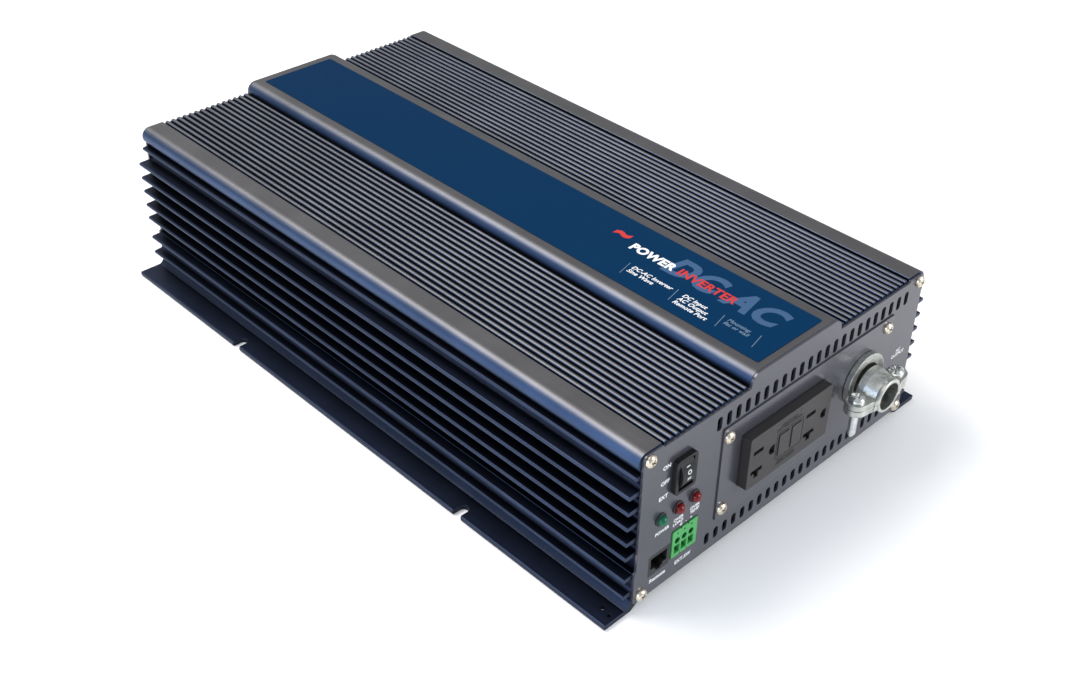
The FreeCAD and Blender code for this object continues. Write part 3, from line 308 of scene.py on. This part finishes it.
MATERIALS = {
    # The case material paints light and shade by height and by facing (see anodised).
    "case_metal": anodised("anodised_case", ((0.025, 0.039, 0.075), (0.040, 0.058, 0.108)),
                           ((0.032, 0.059, 0.126), (0.043, 0.079, 0.164)),
                           ((0.112, 0.110, 0.116), (0.146, 0.143, 0.149)), 0.42),
    "face_label": label_film("label_blue"),
    "panel_metal": painted("panel_paint", (0.062, 0.063, 0.080), (0.078, 0.079, 0.098), 0.22),
    "plate_metal": painted("plate_paint", (0.070, 0.070, 0.086), (0.088, 0.088, 0.106), 0.2),
    "screw_nickel": metal("nickel_screw", (0.56, 0.49, 0.38), (0.90, 0.82, 0.69), 0.24),
    "screw_zinc": metal("zinc_screw", (0.55, 0.57, 0.57), (0.92, 0.94, 0.92), 0.2),
    # Painted shade darkens the outlet's slots and holes.
    "outlet_plastic": plastic("outlet_plastic", (0.024, 0.021, 0.021), (0.034, 0.031, 0.031), 0.46,
                              painted_shade_reach=3 * MM),
    "button_plastic": plastic("button_plastic", (0.026, 0.023, 0.023), (0.037, 0.034, 0.034), 0.44),
    "lamp_clear": lens("lamp_clear", (0.02, 0.022, 0.02), (0.04, 0.045, 0.04)),
    "switch_plastic": plastic("switch_plastic", (0.006, 0.006, 0.007), (0.010, 0.010, 0.011), 0.42,
                              gloss=0.3),
    "collar_plastic": plastic("collar_plastic", (0.007, 0.007, 0.008), (0.012, 0.012, 0.013), 0.42),
    "lens_green": lens("lens_green", (0.002, 0.090, 0.044), (0.005, 0.160, 0.076)),
    "lens_red": lens("lens_red", (0.120, 0.001, 0.003), (0.200, 0.003, 0.006)),
    # Painted shade darkens the terminal's wire entries.
    "terminal_green": plastic("terminal_green", (0.045, 0.340, 0.075), (0.070, 0.440, 0.115), 0.4,
                              painted_shade_reach=4 * MM),
    "jack_plastic": plastic("jack_plastic", (0.010, 0.010, 0.011), (0.018, 0.018, 0.020), 0.42),
    "contact_gold": metal("contact_gold", (0.70, 0.46, 0.15), (0.95, 0.70, 0.30), 0.2),
    "contact_brass": metal("contact_brass", (0.55, 0.38, 0.14), (0.80, 0.60, 0.26), 0.3),
    "strap_steel": metal("strap_steel", (0.45, 0.45, 0.45), (0.70, 0.70, 0.70), 0.35),
    "connector_zinc": cast_zinc("connector_zinc"),
    "board_green": circuit_board("board_green"),
    "ferrite": plastic("ferrite", (0.010, 0.010, 0.011), (0.022, 0.022, 0.024), 0.6,
                       texture=0.06 * MM, grain=1800.0),
    "copper_wire": metal("copper_wire", (0.36, 0.11, 0.04), (0.75, 0.28, 0.12), 0.3,
                         brushed=(800, 800, 9000)),
    "capacitor_sleeve": plastic("capacitor_sleeve", (0.008, 0.014, 0.050), (0.014, 0.024, 0.080), 0.25),
    "inductor_iron": plastic("inductor_iron", (0.42, 0.30, 0.03), (0.60, 0.45, 0.06), 0.4),
    "transistor_black": plastic("transistor_black", (0.008, 0.008, 0.008), (0.016, 0.016, 0.016), 0.55),
    "bare_aluminium": metal("bare_aluminium", (0.60, 0.61, 0.62), (0.82, 0.83, 0.84), 0.35,
                            brushed=(5200, 12, 5200)),
    "fuse_plastic": plastic("fuse_plastic", (0.015, 0.170, 0.045), (0.030, 0.260, 0.075), 0.2),
    "fan_plastic": plastic("fan_plastic", (0.008, 0.008, 0.009), (0.015, 0.015, 0.016), 0.45),
    "guard_wire": metal("guard_wire", (0.62, 0.63, 0.64), (0.90, 0.91, 0.92), 0.18),
    "red_insulator": plastic("red_insulator", (0.330, 0.012, 0.010), (0.460, 0.020, 0.015), 0.36),
    "black_insulator": plastic("black_insulator", (0.008, 0.008, 0.009), (0.016, 0.016, 0.017), 0.38),
    "stud_brass": metal("stud_brass", (0.55, 0.40, 0.16), (0.85, 0.66, 0.32), 0.24),
    "nut_steel": metal("nut_steel", (0.50, 0.50, 0.49), (0.82, 0.82, 0.80), 0.26),
    "bus_copper": metal("bus_copper", (0.48, 0.18, 0.08), (0.80, 0.36, 0.18), 0.35),
    "box_steel": metal("box_steel", (0.42, 0.43, 0.43), (0.66, 0.67, 0.67), 0.42),
    "wire_insulation": plastic("wire_insulation", (0.010, 0.010, 0.010), (0.018, 0.018, 0.018), 0.4),
}
WHITE_INK = ink("white_ink", (0.96, 0.97, 0.98))
PALE_INK = ink("pale_ink", (0.16, 0.25, 0.36))
SKY_INK = ink("sky_ink", (0.028, 0.092, 0.215))
RED_INK = ink("red_ink", (0.620, 0.022, 0.018))

SLOT_OF = {entry["node"]: entry["material_slot"] for entry in frame["record"]["subparts"]}
for node_name, node_object in frame["nodes"].items():
    node_object.data.materials.clear()
    node_object.data.materials.append(MATERIALS[SLOT_OF[node_name]])

# ------------------------------------------------------------------ printed pieces


def keep(name, mesh, material, body):
    """A new visible piece, riding on a body."""
    piece = bpy.data.objects.new(name, mesh)
    SCENE.collection.objects.link(piece)
    mesh.materials.clear()
    mesh.materials.append(material)
    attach(piece, body)
    return piece


def lettering(name, words, size, place, turn, material, body, bold, align="CENTER", lean=0.0,
              rise=PRINT_THICKNESS):
    """Thin raised printing. turn is a 3x3 matrix from the text's own X, Y, Z to the part's, and bold
    thickens the strokes by that share of the size."""
    curve = bpy.data.curves.new(name + "_curve", "FONT")
    curve.body = words
    curve.size = size
    curve.align_x = align
    curve.align_y = "CENTER"
    curve.extrude = rise
    curve.offset = size * bold
    curve.shear = lean
    curve.space_character = 1.0 + LETTER_SPREAD * bold
    curve.space_line = LINE_SPACING
    curve.resolution_u = 4
    temporary = bpy.data.objects.new(name + "_text", curve)
    SCENE.collection.objects.link(temporary)
    bpy.context.view_layer.update()
    shaped = temporary.evaluated_get(bpy.context.evaluated_depsgraph_get())
    mesh = bpy.data.meshes.new_from_object(shaped)
    bpy.data.objects.remove(temporary)
    mesh.transform(Matrix.Translation(place) @ turn.to_4x4())
    return keep(name, mesh, material, body)


ON_PANEL = Matrix(((1, 0, 0), (0, 0, -1), (0, 1, 0)))
ON_LABEL = Matrix(((0, 1, 0), (-1, 0, 0), (0, 0, 1)))
QUARTER_TURN = Matrix.Rotation(math.pi / 2, 3, "Z")
PANEL_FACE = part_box("front_panel")[0][1]
LABEL_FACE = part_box("name_label")[1][2]


def panel_words(name, words, x, z, size):
    """White printing on the control panel; x, z and size in millimetres."""
    lettering(name, words, size * MM, Vector((x * MM, PANEL_FACE - WORD_LIFT, z * MM)), ON_PANEL, WHITE_INK,
              "case", bold=0.028)


def panel_legends():
    """What each control is, beside it: piece, words, X, Z and size in millimetres."""
    for legend in (("legend_on", "ON", -95.6, 84.5, 3.4),
                   ("legend_off", "OFF", -96.1, 75.1, 3.4),
                   ("legend_ext", "EXT", -96.6, 66.0, 3.4),
                   ("legend_power", "POWER", -95.4, 43.6, 2.8),
                   ("legend_load", "OVER\nLOAD", -83.6, 43.0, 2.7),
                   ("legend_temp", "OVER\nTEMP", -71.6, 43.4, 2.7),
                   ("legend_signs", "G   -   +", -77.6, 38.9, 2.6),
                   ("legend_switch", "EXT.SW", -77.6, 13.6, 3.3),
                   ("legend_remote", "Remote", -96.3, 13.6, 3.5),
                   ("legend_output", "AC\nOUTPUT", 99.6, 51.8, 3.0)):
        panel_words(*legend)


def rocker_marks():
    """One bar, a circle and two bars, lying on the paddle's round face."""
    low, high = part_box("switch_rocker")
    x = (low[0] + high[0]) / 2
    middle = (low[2] + high[2]) / 2
    front = low[1]
    for name, mark, up, turn in (("mark_on", "I", 5.2, QUARTER_TURN),
                                 ("mark_off", "O", 2.0, Matrix.Identity(3)),
                                 ("mark_ext", "II", -1.7, QUARTER_TURN)):
        angle = math.asin(up * MM / PADDLE_RADIUS)
        place = Vector((x, front + PADDLE_RADIUS * (1 - math.cos(angle)) - MARK_SINK, middle + up * MM))
        tilt = Matrix.Rotation(-angle, 3, "X")
        lettering("switch_" + name, mark, MARK_SIZE, place, tilt @ ON_PANEL @ turn, WHITE_INK, "rocker",
                  bold=0.012)


def outlet_lettering():
    """Raised lettering moulded into the outlet's face, in its own plastic."""
    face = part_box("receptacle_body")[0][1]
    for name, words, x, z in (("outlet_words_upper", "PRESS TO TEST\nTEST WHEN INSTALLED", -8.5, 66.4),
                              ("outlet_words_lower", "PRESS TO RESET\nINDOOR OUTLET", -8.5, 43.2)):
        lettering(name, words, 1.9 * MM, Vector((x * MM, face, z * MM)), ON_PANEL,
                  MATERIALS["outlet_plastic"], "case", bold=0.01,
                  rise=MOULDED_THICKNESS)


def label_words(name, words, across, along, size, material, lean, bold, level=3):
    """Printing on the face label, read from its left side; across is X and along is Y in millimetres.
    A higher level lies on top of a lower one."""
    place = Vector((across * MM, along * MM, LABEL_FACE + WORD_LIFT * level))
    return lettering(name, words, size * MM, place, ON_LABEL, material, "case", bold, "LEFT",
                     lean, FILM_PRINT_THICKNESS)


def label_rule(name, across, along):
    """A fine slanting rule between two groups of small print."""
    form = bmesh.new()
    top, bottom, slant, width = across + 5.6, across - 5.6, 1.3, 0.35
    corners = [(bottom, along - slant), (bottom, along - slant + width),
               (top, along + slant + width), (top, along + slant)]
    vertices = [form.verts.new((x * MM, y * MM, LABEL_FACE + RULE_LIFT)) for x, y in corners]
    form.faces.new(reversed(vertices))
    mesh = bpy.data.meshes.new(name)
    form.to_mesh(mesh)
    form.free()
    keep(name, mesh, PALE_INK, "case")


def label_print():
    """Plain printing near the label's front end: what the object is, in white, red and two blues."""
    label_words("label_large", "DC AC", 7.8, -117.0, 23.0, SKY_INK, 0.25, 0.045, level=1)
    first = label_words("label_power", "POWER", 5.4, -92.0, 8.6, WHITE_INK, 0.0, 0.045)
    end = min(vertex.co.y for vertex in first.data.vertices) / MM
    label_words("label_inverter", "INVERTER", 5.4, end - 2.4, 8.6, RED_INK, 0.0, 0.03)
    label_words("label_wave", "~", 11.0, -76.0, 17.0, RED_INK, 0.0, 0.05)
    label_words("label_kind", "DC-AC Inverter\nSine Wave", -11.6, -107.0, 4.1, WHITE_INK, 0.2, 0.018)
    label_words("label_ways", "DC Input\nAC Output\nRemote Port", -13.6, -143.0, 4.1, WHITE_INK, 0.2, 0.018)
    label_words("label_use", "Mounting:\nflat or wall", -10.9, -173.0, 3.6, PALE_INK, 0.2, 0.01)
    for number, along in enumerate((-104.9, -139.3, -170.8, -194.8)):
        label_rule("label_rule_%d" % number, -13.0, along)


panel_legends()
rocker_marks()
outlet_lettering()
label_print()

# ------------------------------------------------------------------ floor, light and camera


def area_light(name, place, target, size, power, colour):
    """A soft rectangular light that faces its target; metres and watts."""
    data = bpy.data.lights.new(name, "AREA")
    data.shape = "RECTANGLE"
    data.size, data.size_y = size
    data.energy = power
    data.color = colour
    light = bpy.data.objects.new(name, data)
    light.location = place
    light.rotation_euler = (Vector(target) - Vector(place)).to_track_quat("-Z", "Y").to_euler()
    SCENE.collection.objects.link(light)


def studio():
    """Pale floor, an even pale surround and soft lights, warm from above and blue from the left."""
    mesh = bpy.data.meshes.new("floor")
    form = bmesh.new()
    bmesh.ops.create_grid(form, x_segments=8, y_segments=8, size=FLOOR_HALF_WIDTH)
    form.to_mesh(mesh)
    form.free()
    floor = bpy.data.objects.new("floor", mesh)
    floor.location = (0.0, 0.0, -FLOOR_DROP)
    SCENE.collection.objects.link(floor)
    s = Shader("floor_paper", Roughness=0.9, Emission_Color=(1.0, 1.0, 1.0, 1.0), Emission_Strength=0.12)
    fibre = s.noise(400.0)
    s.colour(s.ramp(fibre, (0.2, (0.90, 0.90, 0.90)), (0.8, (0.93, 0.93, 0.93))))
    mesh.materials.append(s.material)
    world = bpy.data.worlds.new("surround")
    world.use_nodes = True
    background = world.node_tree.nodes["Background"]
    background.inputs["Color"].default_value = (0.93, 0.96, 1.0, 1.0)
    background.inputs["Strength"].default_value = 0.55
    SCENE.world = world
    SCENE.view_settings.view_transform = "Standard"
    area_light("key", (-0.5, 0.8, 1.6), target=(0.0, 0.0, 0.05), size=(1.3, 0.9), power=30.0,
               colour=(1.0, 0.96, 0.91))
    area_light("front", (0.8, -1.5, 0.8), target=(0.0, -0.2, 0.05), size=(0.9, 0.7), power=14.0,
               colour=(0.95, 0.97, 1.0))
    area_light("left", (-1.5, -0.1, 0.45), target=(-0.1, 0.0, 0.06), size=(1.6, 0.5), power=10.5,
               colour=(0.58, 0.72, 1.0))


def photo_camera():
    """The camera at the photograph's viewing angle."""
    level = math.cos(CAMERA_ELEVATION)
    back = Vector((math.sin(CAMERA_AZIMUTH) * level, -math.cos(CAMERA_AZIMUTH) * level,
                   math.sin(CAMERA_ELEVATION)))
    right = (-back).cross(Vector((0, 0, 1))).normalized()
    up = right.cross(-back)
    turned_right = right * math.cos(CAMERA_ROLL) + up * math.sin(CAMERA_ROLL)
    turned_up = up * math.cos(CAMERA_ROLL) - right * math.sin(CAMERA_ROLL)
    data = bpy.data.cameras.new("camera")
    data.sensor_width = CAMERA_SENSOR
    data.lens = CAMERA_LENS
    data.shift_x, data.shift_y = CAMERA_SHIFT
    data.clip_start = 0.01
    camera = bpy.data.objects.new("camera", data)
    axes = Matrix((turned_right, turned_up, back)).transposed()
    camera.matrix_world = Matrix.Translation(CAMERA_PLACE) @ axes.to_4x4()
    SCENE.collection.objects.link(camera)
    SCENE.camera = camera


studio()
photo_camera()
